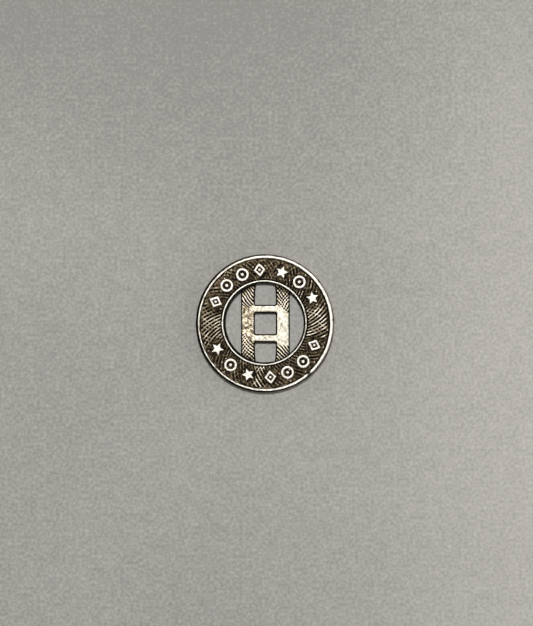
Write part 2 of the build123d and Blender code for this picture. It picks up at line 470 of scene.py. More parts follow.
def make_outer_rim():
    columns = 900
    r0 = BAND_R1
    prof = rim_profile(r0, TOKEN_R, 0.0, TOKEN_T, 0.22, 0.06, (14, 10, 8, 5, 6))
    rows = len(prof)
    lengths = np.hypot(*(np.roll(prof[:, :2], -1, axis=0) - prof[:, :2]).T)
    arc_at = np.concatenate([[0], np.cumsum(lengths)[:-1]])
    theta = np.linspace(0, 2 * math.pi, columns, endpoint=False)
    T, I = np.meshgrid(theta, np.arange(rows), indexing="ij")
    R, Z, NR, NZ = (prof[:, k][I] for k in range(4))
    clock = clockwise(T)
    top = Z > TOKEN_T / 2
    turn = T / (2 * math.pi)
    # the land is a little wider in places, where the lip and edge are rubbed
    lip = (layered(turn * 60, I * 0 + 0.5, 3, 3, 60) - 0.5) * 0.05
    near_in = np.exp(-((R - r0) / 0.07) ** 2) * (NR < 0.3)
    R = R + near_in * lip * np.where(top, 1, -1)
    # rubbed low spots on the land and edge, all cut inwards
    worn = 0.010 * layered(turn * 90, arc_at[I] * 3.0, 11, 3, 90) * (np.abs(NZ) > 0.5)
    edge = 0.022 * layered(turn * 130, arc_at[I] * 5.0, 23, 3, 130) ** 2 * (NR > 0.1)
    dig = np.where(top, nick_depth(T, R), nick_depth(T, R, 41.0, 0.9)) * np.clip(np.abs(NZ) * 1.2 + 0.2, 0, 1)
    # small bruises round the plain edge
    bruise = np.zeros_like(R)
    for k in range(46):
        at = 360.0 * lattice(np.int64(k), np.int64(5), 91)
        zc = 0.12 + 1.1 * lattice(np.int64(k), np.int64(9), 92)
        size = 0.05 + 0.11 * lattice(np.int64(k), np.int64(13), 93)
        d = (np.mod(clock - at + 180.0, 360.0) - 180.0) * math.pi / 180.0 * TOKEN_R
        bruise += 0.16 * size * np.exp(-((d / size) ** 2) - ((Z - zc) / (0.8 * size)) ** 2) * (NR > 0.1)
    cut = worn + edge + dig + bruise
    keep_high = np.where((np.abs(NZ) > 0.99) & (np.abs(R - 7.96) < 0.08), 0.6, 1.0)
    R = R - NR * cut * keep_high
    Z = Z - NZ * cut * keep_high
    # exposure: bright land, toned wall down to the band, and an outer edge that is partly rubbed and partly painted
    # light: a painted highlight on the upper right, painted shade on the lower left
    # painted light: this is largest at the upper right, where the rounded edge is painted lighter as a highlight, and
    # smallest at the lower left, where it is painted darker as shade
    facing_light = np.cos(np.radians(clock - 58.0))
    shaded = near_angle(clock, 262.0, 70.0)
    flat_r = prof[:, 0][I]
    ragged = 0.042 * (layered(turn * 150, I * 0 + 4.5, 63, 3, 150) - 0.5)
    # painted highlight: the bright land reaches further out over the rounded edge towards the right, a little raggedly
    reach = TOKEN_R - 0.220 + 0.087 * np.cos(np.radians(clock - 77.0)) + ragged
    edge_rub_and_sheen = np.maximum(0.240 + 0.27 * facing_light, 0.0)
    side_tone = 0.70 + 0.04 * facing_light
    side = step(0.80, 0.99, NR)
    edge_rub_and_sheen = edge_rub_and_sheen * (1 - side) + side_tone * side
    set_in = 0.058 + 0.045 * near_angle(clock, 22.0, 38.0) - 0.022 * near_angle(clock, 102.0, 36.0)
    on_land = step(r0 + set_in + ragged, r0 + set_in + 0.067 + ragged, flat_r) * (1 - step(reach - 0.02, reach + 0.055, flat_r))
    exposure = np.where(NR >= 0, edge_rub_and_sheen + (0.97 - edge_rub_and_sheen) * on_land, 0.03 + 0.94 * on_land)
    # the land itself is rubbed unevenly, and its darker patches are also painted shade, deepest on the left and
    # lightest on the upper right
    patchy = step(0.44, 0.80, layered(turn * 110, R * 6.0, 67, 3, 110))
    exposure = exposure - on_land * (0.09 - 0.05 * facing_light + 0.20 * shaded) * patchy
    exposure = exposure - 8.0 * dig - 2.2 * bruise
    streak = layered(turn * 340, Z * 1.4, 57, 3, 340) - 0.5
    exposure = exposure + (NR > 0.8) * 0.24 * streak
    exposure = exposure + 0.08 * (layered(turn * 40, I * 0 + 2.5, 61, 3, 40) - 0.5)
    X, Y = R * np.cos(T), R * np.sin(T)
    faces, cc, rr = ring_grid(rows, columns)
    faces = faces[:, ::-1]
    uv = rim_uv(faces, cc, rr, columns, rows, lengths)[:, ::-1]
    verts = np.stack([X.ravel(), Y.ravel(), Z.ravel()], 1)
    return build("struck_outer_rim", verts, [faces], [uv], 
                 {"exposure": np.clip(exposure, 0, 1).ravel(), "hue": (0.6 - 0.45 * np.maximum(on_land, side)).ravel()},
                 rim_metal, ["outer_rim"])


OFF_X, OFF_Y = -0.090, 0.080   # the inner ridge and its groove lie a little off the outer rim's centre
HOLE_X, HOLE_Y = -0.040, 0.080   # and so does the edge of the hole, which is a touch taller than it is wide
CREST_R = 4.985


def eccentric(theta):
    return OFF_X * np.cos(theta) + OFF_Y * np.sin(theta)


def make_inner_rim():
    columns = 640
    prof = rim_profile(HOLE_R, INNER_R1, INNER_Z0, INNER_Z1, 0.06, 0.14, (8, 6, 12, 9, 14))
    rows = len(prof)
    lengths = np.hypot(*(np.roll(prof[:, :2], -1, axis=0) - prof[:, :2]).T)
    arc_at = np.concatenate([[0], np.cumsum(lengths)[:-1]])
    theta = np.linspace(0, 2 * math.pi, columns, endpoint=False)
    T, I = np.meshgrid(theta, np.arange(rows), indexing="ij")
    R, Z, NR, NZ = (prof[:, k][I] for k in range(4))
    clock = clockwise(T)
    turn = T / (2 * math.pi)
    flat_r = R.copy()
    ragged = 0.022 * (layered(turn * 120, I * 0 + 4.5, 65, 3, 120) - 0.5)
    off = np.abs(flat_r - CREST_R + ragged)
    face = np.clip(np.abs(NZ) * 1.3, 0, 1)
    worn = 0.014 * layered(turn * 70, arc_at[I] * 4.0, 31, 3, 70) * face
    # the ridge falls away on both sides of its crest
    worn += 0.034 * step(0.05, 0.18, off) * face
    # rubbed lower at the right, where the ridge is thin and broken
    thin = near_angle(clock, 97.0, 24.0)
    worn += 0.016 * thin * face * (Z > TOKEN_T / 2)
    burr = 0.010 * (layered(turn * 150, Z * 2.0, 37, 2, 150) - 0.5) * (NR < -0.5)
    by_ridge = step(HOLE_R + 0.01, HOLE_R + 0.26, flat_r)
    R = R + eccentric(T) * by_ridge + (0.042 + HOLE_X * np.cos(T) + HOLE_Y * np.sin(T) - 0.030 * np.cos(2 * T) - 0.012 * np.sin(2 * T)) * (1 - by_ridge)
    R = R - NR * worn + burr
    Z = Z - NZ * worn
    breaks = thin * (0.30 + 0.9 * noise(turn * 130, Z * 0 + 3.0, 71, 130))
    crest = step(0.108, 0.045, off)
    crest = crest * (1 - 0.34 * np.clip(breaks, 0, 1))
    crest = crest * (1 - 0.22 * step(0.45, 0.85, layered(turn * 80, I * 0 + 6.5, 69, 3, 80)))
    exposure = np.where(np.abs(NZ) > 0.35, 0.035 + 0.94 * crest, 0.035)
    exposure = np.where(NR < -0.8, 0.18 + 0.34 * layered(turn * 300, Z * 1.2, 77, 3, 300), exposure)
    exposure = exposure + 0.10 * (layered(turn * 45, I * 0 + 2.5, 81, 3, 45) - 0.5)
    X, Y = R * np.cos(T), R * np.sin(T)
    faces, cc, rr = ring_grid(rows, columns)
    faces = faces[:, ::-1]
    uv = rim_uv(faces, cc, rr, columns, rows, lengths)[:, ::-1]
    verts = np.stack([X.ravel(), Y.ravel(), Z.ravel()], 1)
    return build("struck_inner_rim", verts, [faces], [uv], 
                 {"exposure": np.clip(exposure, 0, 1).ravel(), "hue": np.full(exposure.size, 0.2)},
                 rim_metal, ["inner_rim"])


# ---------------------------------------------------------------------------
# Band: two families of engraved spirals, rubbed where nothing stands by them
# ---------------------------------------------------------------------------
LINES = 90
LEAN = 0.675             # slope of a line against the radius, at 6.43 mm out
BEND = 1.42              # the slope grows with this power of the radius


def ridge(phase, sharp):
    return (0.5 + 0.5 * np.cos(phase)) ** sharp


def band_lines(theta, r, flip):
    """The two families of engraved lines, how far each line is rubbed, and a value for each crossing, all 0 to 1."""
    s = -1.0 if flip else 1.0
    lean = LEAN / BEND * (r / 6.43) ** BEND
    wob = 0.10 * np.sin(7 * theta) + 0.08 * np.sin(13 * theta + 1.0)
    p1 = LINES * (theta - s * lean) + wob
    p2 = LINES * (theta + s * lean) - wob
    n1 = np.mod(np.round(p1 / (2 * math.pi)), LINES)
    n2 = np.mod(np.round(p2 / (2 * math.pi)), LINES)
    crossing = lattice(n1.astype(np.int64), n2.astype(np.int64), 131)
    return ridge(p1, 1.9), ridge(p2, 2.3), noise(n1, r * 1.7, 121), noise(n2, r * 1.7, 127), crossing


def ornament_distance(x, y):
    d = np.full_like(x, 9.0)
    for a, _ in ORNAMENTS:
        t = math.radians(a)
        d = np.minimum(d, np.hypot(x - ORNAMENT_R * math.sin(t), y - ORNAMENT_R * math.cos(t)) - 0.74)
    return d


def make_band(name, side):
    """side +1: obverse, -1: reverse. Each is a closed plate from the face to the blank's mid-plane."""
    columns, rows_top = 1080, 78
    r_in, r_out = INNER_R1 - 0.05, BAND_R1 + 0.04
    radii = np.concatenate([[r_in], np.linspace(INNER_R1 + 0.004, BAND_R1 - 0.004, rows_top - 2), [r_out]])
    theta = np.linspace(0, 2 * math.pi, columns, endpoint=False)
    T, R = np.meshgrid(theta, radii, indexing="ij")
    flat_r = R.copy()
    R = R + eccentric(T) * np.clip((5.85 - flat_r) / 0.70, 0, 1)
    x, y = R * np.cos(T), R * np.sin(T)
    first, second, own1, own2, crossing = band_lines(T, R, side < 0)
    seen = step(0.42, 0.78, own2)
    relief = np.maximum(first, (0.28 + 0.34 * seen) * second) + 0.14 * first * second
    grain = step(0.10, 0.75, first * second)
    turn = T / (2 * math.pi)
    apart = ornament_distance(x, y)
    open_ground = step(0.02, 0.95, apart)
    patch = layered(turn * 26, R * 0.9, 101, 3, 26)
    clock = clockwise(T)
    rub = 0.10 + 0.90 * open_ground * (0.72 + 0.5 * patch)
    rub = rub * (1 - 0.62 * step(7.20, 7.48, flat_r)) + 0.70 * near_angle(clock, 187.0, 5.5) * step(0.0, 0.4, apart)
    rub = np.clip(rub - 0.28 * near_angle(clock, 6.0, 7.0), 0, 1)
    flat_top = 0.94 - 0.30 * rub
    height = np.minimum(relief * rub + (0.17 * relief + 0.70 * grain) * (1 - rub), flat_top)
    wide = 0.105 + 0.060 * near_angle(clock, 80.0, 58.0)
    by_rim = np.maximum(step(BAND_R1 - wide, BAND_R1 - wide + 0.060, flat_r), step(INNER_R1 + 0.120, INNER_R1 + 0.045, flat_r))
    grit = layered(turn * 420, R * 9.0, 107, 2, 420) - 0.5
    depth = 0.066 * (0.60 + 0.40 * rub) * (1.0 - by_rim)
    z_top = BAND_Z1 if side > 0 else TOKEN_T - BAND_Z0
    rise = depth * (height - 0.80) + 0.012 * grit * (1 - 0.8 * rub) - 0.045 * by_rim
    z = z_top + rise
    fringe = step(7.38, 7.46, flat_r) * (1 - step(7.52, 7.58, flat_r))
    fringe = fringe * (0.15 + 0.85 * near_angle(clock, 38.0, 42.0) + 0.4 * near_angle(clock, 318.0, 26.0))
    fringe = fringe * step(0.40, 0.75, noise(turn * 45, flat_r * 0, 113, 45))
    bright = np.maximum(step(0.38, 0.78, first) * (0.40 + 0.76 * own1), step(0.5, 0.9, second) * (0.10 + 0.62 * seen))
    pits = 1 - step(0.12, 0.45, np.maximum(first, (0.25 + 0.6 * seen) * second))
    speckle = layered(x * 5.2 + 31, y * 5.2, 109, 2) - 0.5
    by_edge = step(7.22, 7.36, flat_r) * (1 - near_angle(clock, 84.0, 40.0) * 0.3)
    exposure = 0.265 + 0.10 * patch + 0.06 * by_edge + (0.50 * speckle + 0.20 * grit) * (1 - 0.65 * rub)
    exposure = exposure + (0.26 * speckle + 0.22 * grit) * (1 - rub) ** 2
    # a little more is rubbed by the rim at the upper left
    spots = step(0.50, 0.74, layered(x * 4.3 + 17, y * 4.3, 141, 2))
    exposure = exposure + 0.34 * spots * near_angle(clock, 300.0, 30.0) * step(6.95, 7.30, flat_r)
    exposure = exposure + bright * (0.03 + (0.60 + 0.14 * near_angle(clock, 88.0, 45.0) + 0.24 * near_angle(clock, 187.0, 14.0)) * rub ** 1.6 + 0.45 * fringe)
    exposure = exposure - 0.50 * pits * rub - 0.05 * rub
    # by the ornaments and the rims only the crossings of the lines catch a little rubbing
    exposure = exposure + (1 - rub) * (grain * (0.06 + 0.22 * crossing + 0.55 * step(0.84, 0.97, crossing)) - 0.05)
    # the groove under the outer rim is deepest toned on the right, and patchy elsewhere
    strong = np.maximum(near_angle(clock, 84.0, 62.0), step(6.4, 6.0, flat_r))
    shallow = step(0.34, 0.66, layered(turn * 130, flat_r * 5.0, 119, 2, 130))
    exposure = exposure * (1 - by_rim) + (1 - strong) * (0.06 + 0.72 * shallow) * by_rim
    exposure = exposure - 0.10 * step(0.20, 0.0, apart)
    loop = rows_top + 2
    V = np.zeros((columns, loop, 3))
    V[:, :rows_top, 0], V[:, :rows_top, 1], V[:, :rows_top, 2] = x, y, z
    for k, rad in ((rows_top, r_out + theta * 0), (rows_top + 1, r_in + eccentric(theta))):
        V[:, k, 0], V[:, k, 1], V[:, k, 2] = rad * np.cos(theta), rad * np.sin(theta), TOKEN_T / 2
    E = np.zeros((columns, loop))
    E[:, :rows_top] = exposure
    H = np.full((columns, loop), 0.85)
    H[:, :rows_top] = 0.85 - 0.62 * np.clip(bright * rub, 0, 1)
    if side < 0:
        V[..., 2] = TOKEN_T - V[..., 2]
    faces, cc, rr = ring_grid(loop, columns)
    if side > 0:
        faces = faces.copy()
    plan = V[..., :2].reshape(-1, 2)
    squeeze = np.where(rr >= rows_top - 1, 0.12, 1.0)
    uv = plan[faces] * squeeze[:, None, None] / (2 * TOKEN_R) * 0.99 + 0.5
    # wind so that every face looks out of the plate
    a, b, c = (V.reshape(-1, 3)[faces[0, k]] for k in range(3))
    normal_up = np.cross(b - a, c - a)[2] * (1 if side > 0 else -1)
    if normal_up < 0:
        faces, uv = faces[:, ::-1], uv[:, ::-1]
    return build(name, V.reshape(-1, 3), [faces], [uv],
                 {"exposure": np.clip(E, 0, 1).ravel(), "hue": H.ravel()},
                 band_metal, ["field_band"])


# ---------------------------------------------------------------------------
# Flat outlines with a shaped top: bar-work and ornaments
# ---------------------------------------------------------------------------
def fill(loops, metal_left, insets, spacing):
    """Points and triangles inside the loops, with rows of points close to the outline."""
    boundary = np.concatenate(loops)
    edges, start = [], 0
    for l in loops:
        n = len(l)
        edges += [(start + i, start + (i + 1) % n) for i in range(n)]
        start += n
    extra = []
    for l, left in zip(loops, metal_left):
        n = inward(l, left)
        for d in insets:
            p = l + n * d
            good = to_segments(p, loops) > 0.96 * d
            extra.append(p[good & within(p, loops)])
    low, high = boundary.min(0), boundary.max(0)
    rows = np.arange(low[1], high[1], spacing * math.sqrt(3) / 2)
    grid = []
    for j, yy in enumerate(rows):
        xx = np.arange(low[0] + (j % 2) * spacing / 2, high[0], spacing)
        grid.append(np.stack([xx, np.full_like(xx, yy)], 1))
    grid = np.concatenate(grid)
    grid = grid[within(grid, loops)]
    grid = grid[to_segments(grid, loops) > (insets[-1] if insets else 0) + 0.45 * spacing]
    points = np.concatenate([boundary] + extra + [grid])
    found = delaunay_2d_cdt([Vector(p) for p in points], edges, [], 0, 1e-7)
    coords = np.array([tuple(v) for v in found[0]])
    tris = np.array([f for f in found[2] if len(f) == 3])
    centre = coords[tris].mean(1)
    tris = tris[within(centre, loops)]
    # the CDT keeps input order, with input points first
    order = np.array([o[0] if o else -1 for o in found[3]])
    back = np.full(len(points), -1)
    back[order[order >= 0]] = np.where(order >= 0)[0]
    # a sliver on the far side of a straight run of the outline is not part of the face
    rim = {tuple(sorted((int(back[i]), int(back[j])))) for i, j in edges}
    count = {}
    sides = [[tuple(sorted((int(t[k]), int(t[(k + 1) % 3])))) for k in range(3)] for t in tris]
    for three in sides:
        for e in three:
            count[e] = count.get(e, 0) + 1
    a, b, c = (coords[tris[:, k]] for k in range(3))
    thin = np.abs((b - a)[:, 0] * (c - a)[:, 1] - (b - a)[:, 1] * (c - a)[:, 0]) < 1e-7
    keep = np.array([not (t and any(e in rim and count[e] > 1 for e in three)) for t, three in zip(thin, sides)])
    tris = tris[keep]
    used = np.unique(tris)
    new = np.full(len(coords), -1)
    new[used] = np.arange(len(used))
    loop_index, start = [], 0
    for l in loops:
        loop_index.append(new[back[start:start + len(l)]])
        start += len(l)
    return coords[used], new[tris], loop_index


def soften(distance, radius):
    """How far a rounded edge falls below the face at this distance from the outline."""
    d = np.clip(distance, 0, radius)
    return radius - np.sqrt(np.maximum(radius**2 - (radius - d) ** 2, 0))


LADDER_X = 0.045


def ladder_outline():
    """Outer loop anticlockwise, then the closed middle window clockwise."""
    end_r = HOLE_R + 0.17

    def end_arc(a0, a1, n=24):
        return [(end_r * math.cos(t), end_r * math.sin(t)) for t in np.linspace(a0, a1, n)]

    def flare(y_sign, n=14):
        # a tangent arc from the straight side to the hole's wall, then on into the rim
        end_y = math.sqrt(HOLE_R**2 - FLARE_X**2)
        dy, dx = end_y - FLARE_Y, BAR_X0 - FLARE_X
        rad = (dy * dy + dx * dx) / (2 * dx)
        pts = []
        y_stop = math.sqrt(end_r**2 - (FLARE_X - 0.02) ** 2)
        for yy in np.linspace(FLARE_Y, y_stop, n):
            q = yy - FLARE_Y
            pts.append((BAR_X0 - (rad - math.sqrt(rad * rad - q * q)), y_sign * yy))
        return pts

    xo = BAR_X1 + 0.026
    ax = math.acos(xo / end_r)
    up = flare(+1)
    x_end, y_end = up[-1]
    af = math.atan2(y_end, x_end)
    c = CORNER

    def corner(cx, cy, a0, a1, n=7):
        return [(cx + c * math.cos(t), cy + c * math.sin(t)) for t in np.radians(np.linspace(a0, a1, n))]

    pts = []
    # right upright's outer side, going up, then its upper end
    pts += [(xo, -math.sqrt(end_r**2 - xo**2)), (xo, math.sqrt(end_r**2 - xo**2))]
    pts += end_arc(ax, af)[1:-1]
    # down the window side to the upper rung's top edge
    pts += up[::-1]
    pts += corner(BAR_X0 - c, RUNG_Y1 + c, 0, -90)
    pts += corner(-BAR_X0 + c, RUNG_Y1 + c, -90, -180)
    pts += [(-x, y) for x, y in up]
    pts += end_arc(math.pi - af, math.pi - ax)[1:-1]
    pts += [(-xo, math.sqrt(end_r**2 - xo**2)), (-xo, -math.sqrt(end_r**2 - xo**2))]
    pts += end_arc(math.pi + ax, math.pi + af)[1:-1]
    pts += [(-x, -y) for x, y in up[::-1]]
    pts += corner(-BAR_X0 + c, -RUNG_Y1 - c, 180, 90)
    pts += corner(BAR_X0 - c, -RUNG_Y1 - c, 90, 0)
    pts += [(x, -y) for x, y in up]
    pts += end_arc(-af, -ax)[1:-1]
    outer = resample(pts, 0.055)
    window = []
    for cx, cy, a0 in ((1, 1, 0), (-1, 1, 90), (-1, -1, 180), (1, -1, 270)):
        window += corner(cx * (BAR_X0 - c), cy * (RUNG_Y0 - c), a0, a0 + 90)
    window = resample(window, 0.055)[::-1]
    # the bar-work lies a little to the right of the outer rim's centre
    return outer + [LADDER_X, 0.0], window + [LADDER_X, 0.0]


def bar_face(x, y, distance, side):
    """Drop of the bars' face below its highest level, its exposure and its tint."""
    seed = 200 if side > 0 else 240
    mirror = 1.0 if side > 0 else -1.0
    r = np.hypot(x, y)
    patch = layered(x * 0.9 + 7, y * 0.9, seed, 3)
    left = step(-0.9, -1.5, x * mirror)
    # hatching fades out towards the middle, and reaches further in along the outer side of two of the ends
    across = np.clip((np.abs(x) - 1.30) / 1.50, 0, 1)
    slanted = step(-0.4, 0.4, x * y * mirror)
    straight = 2.50 - 0.50 * left
    reach = straight + (2.60 - 1.55 * across - straight) * slanted
    middle = np.abs(y) + 1.0 * (patch - 0.5)
    smooth = np.maximum(step(reach + 0.50, reach - 0.30, middle), step(1.30, 1.05, np.abs(x)))
    # two families of nearly straight engraved lines, steeper and finer than the band's
    sway = 1.10 * (layered(x * 0.8 + 5, y * 0.8, seed + 21, 3) - 0.5)
    down = (0.75 * x * mirror + 0.66 * y) / 0.305 + sway
    rise = (-0.80 * x * mirror + 0.60 * y) / 0.290 - 1.3 * sway
    first, second = ridge(2 * math.pi * down, 1.7), ridge(2 * math.pi * rise, 1.7)
    own1 = noise(np.round(down), (x * mirror - y) * 1.6, 121)
    own2 = noise(np.round(rise), (x * mirror + y) * 1.6, 125)
    dotted = step(2.9, 4.1, r)
    outer_part = step(0.20, 0.95, across + 0.9 * (layered(x * 2.2 + 11, y * 2.2, seed + 27, 2) - 0.5))
    first, second = first * (0.72 + 0.45 * own1), second * (0.72 + 0.45 * own2)
    both = np.maximum(first * (1 - 0.50 * outer_part), second * (0.35 + 0.65 * outer_part))
    both = both * (1 - 0.55 * dotted) + 0.70 * (first * second) ** 0.6 * dotted
    relief = np.maximum(first, 0.25 * second * step(3.6, 2.6, r)) * (1 - slanted) + both * slanted
    relief = np.minimum(relief, 0.60)
    depth = 0.046 * (1 - smooth) ** 0.9
    deep = step(4.10, HOLE_R - 0.02, r)
    drop = depth * (0.60 - relief) + 0.030 * deep + 0.010 * smooth * patch
    drop = drop + 0.020 * step(0.45, 0.0, distance) ** 2
    lower = step(0.5, -0.5, y)
    lines = step(0.27 - 0.06 * lower, 0.56 - 0.06 * lower, relief) * (0.84 + 0.10 * lower + 0.24 * own1)
    worn = layered(x * 3.6 + 3, y * 3.6, seed + 5, 3) - 0.5
    fleck = noise(x * 8.5 + 3, y * 8.5, seed + 9) - 0.5
    exposure = smooth * (0.88 + 0.10 * (patch - 0.5)) + (1 - smooth) * (-0.04 + 1.06 * lines)
    exposure = exposure - smooth * left * (0.285 + 1.15 * worn + 0.55 * fleck)
    exposure = exposure - smooth * (1 - left) * (0.035 + 0.40 * worn + 0.32 * fleck)
    exposure = exposure * (1 - (0.45 - 0.15 * lower) * deep) - 0.06 * deep
    return drop, exposure, np.maximum(0.26 + 0.64 * left, 0.88 * (1 - smooth))


def make_ladder():
    outer, window = ladder_outline()
    loops = [outer, window]
    insets = [0.010, 0.026, 0.048, 0.075]
    flat, tris, loop_index = fill(loops, [True, True], insets, 0.0315)
    free_a, free_b = [], []
    for l in loops:
        nxt = np.roll(l, -1, axis=0)
        free = np.hypot(*((l + nxt) / 2).T) < HOLE_R + 0.160
        free_a.append(l[free])
        free_b.append(nxt[free])
    d = to_edges(flat, np.concatenate(free_a), np.concatenate(free_b))
    n = len(flat)
    faces_uv = []
    verts, exposures, hues = [], [], []
    EDGE = 0.080
    for side in (1, -1):
        drop, exposure, hue = bar_face(flat[:, 0], flat[:, 1], d, side)
        fall = drop + soften(d, EDGE)
        top = BAR_Z1 if side > 0 else TOKEN_T - BAR_Z0
        z = top - fall
        if side < 0:
            z = TOKEN_T - z
        # painted shade: the bars' faces are painted near-black along their free edges, standing in for the dark
        # reflection on the rounded edge and the shadow beside it, wider along the sides of the windows
        window_edge_shade = 0.020 * step(2.2, 1.8, np.abs(flat[:, 0] - LADDER_X))
        clear_of_edge_shade = step(0.096 + window_edge_shade, 0.166 + window_edge_shade, d)
        exposure = exposure * clear_of_edge_shade + 0.02 * (1 - clear_of_edge_shade)
        verts.append(np.column_stack([flat, z]))
        exposures.append(exposure)
        hues.append(hue)
    top_v, low_v = verts
    allv, alle = [top_v, low_v], [exposures[0], exposures[1]]
    faces, uvs = [tris], []
    area = (flat[tris[:, 1]] - flat[tris[:, 0]])
    turnw = np.cross(area, flat[tris[:, 2]] - flat[tris[:, 0]])
    tris = np.where((turnw < 0)[:, None], tris[:, ::-1], tris)
    S = 1 / 13.0
    place_top = np.array([0.235, 0.385])
    place_low = np.array([0.70, 0.385])
    faces = [tris, tris[:, ::-1] + n]
    uvs = [flat[tris] * S + place_top, flat[tris[:, ::-1]] * S + place_low]
    # the pierced walls, in rows, with fine shear lines
    rows = 5
    base = 2 * n
    run = 0.0
    for l, idx in zip(loops, loop_index):
        m = len(idx)
        nrm = -inward(l, True)
        ztop, zlow = top_v[idx, 2], low_v[idx, 2]
        ring_ids = [idx]
        s = np.concatenate([[0], np.cumsum(np.hypot(*(np.roll(l, -1, axis=0) - l).T))])
        for k in range(1, rows):
            t = k / rows
            shear = 0.010 * (noise((s[:-1] + run) * 7.0, np.full(m, t * 1.5), 301) - 0.7)
            p = l + nrm * shear[:, None]
            allv.append(np.column_stack([p, ztop * (1 - t) + zlow * t]))
            alle.append(0.22 + 0.36 * layered((s[:-1] + run) * 9.0, np.full(m, t * 1.2), 307, 2))
            ring_ids.append(base + np.arange(m))
            base += m
        ring_ids.append(idx + n)
        for k in range(rows):
            a, b = ring_ids[k], ring_ids[k + 1]
            q = np.stack([a, b, np.roll(b, -1), np.roll(a, -1)], 1)
            s0, s1 = s[:-1] + run, s[1:] + run
            strip = np.floor(s0 / 12.2)
            v0 = 0.775 + strip * 0.050 + 0.042 * (1 - k / rows)
            v1 = 0.775 + strip * 0.050 + 0.042 * (1 - (k + 1) / rows)
            u0, u1 = (s0 - strip * 12.2) * S + 0.01, (s1 - strip * 12.2) * S + 0.01
            uv = np.stack([np.stack([u0, v0], -1), np.stack([u0, v1], -1), np.stack([u1, v1], -1), np.stack([u1, v0], -1)], 1)
            faces.append(q)
            uvs.append(uv)
        run += s[-1]
    V = np.concatenate(allv)
    # wind the walls outwards
    for i in range(2, len(faces)):
        q = faces[i]
        a, b, c = V[q[:, 0]], V[q[:, 1]], V[q[:, 2]]
        nn = np.cross(b - a, c - a)
        mid = V[q].mean(1)[:, :2]
        probe = mid + nn[:, :2] / np.maximum(np.linalg.norm(nn[:, :2], axis=1, keepdims=True), 1e-12) * 0.02
        if within(probe, loops).mean() > 0.5:
            faces[i] = q[:, ::-1]
            uvs[i] = uvs[i][:, ::-1]
    tints = np.concatenate(hues + [np.full(len(V) - 2 * n, 0.5)])
    return build("pierced_ladder", V, faces, uvs, {"exposure": np.clip(np.concatenate(alle), 0, 1), "hue": tints},
                 bar_metal, ["left_upright", "right_upright", "upper_rung", "lower_rung"])


def circle(r, gap=0.03, flip=False):
    n = max(24, int(round(2 * math.pi * r / gap)))
    t = np.linspace(0, 2 * math.pi, n, endpoint=False)
    p = np.stack([r * np.cos(t), r * np.sin(t)], 1)
    return p[::-1] if flip else p


def ornament_shapes():
    """For each kind, a list of islands; an island is a list of loops, the first one outer."""
    radial, tangent, stroke = 0.85, 0.74, 0.27
    inset = stroke * math.hypot(radial, tangent) / (radial * tangent)
    outer = round_corners([(tangent, 0), (0, radial), (-tangent, 0), (0, -radial)], 0.07)
    inner = round_corners([(tangent * (1 - inset), 0), (0, radial * (1 - inset)), (-tangent * (1 - inset), 0), (0, -radial * (1 - inset))], 0.03)
    star = []
    for i in range(10):
        r = 0.86 if i % 2 == 0 else 0.39
        a = math.radians(90 + 36.0 * i)
        star.append((r * math.cos(a), r * math.sin(a)))
    return {
        "ring": [[circle(0.78), circle(0.48, flip=True)], [circle(0.20, 0.025)]],
        "lozenge": [[resample(outer, 0.03), resample(inner, 0.03)[::-1]], [circle(0.17, 0.025)]],
        "star": [[resample(round_corners(star, 0.05), 0.03)]],
    }


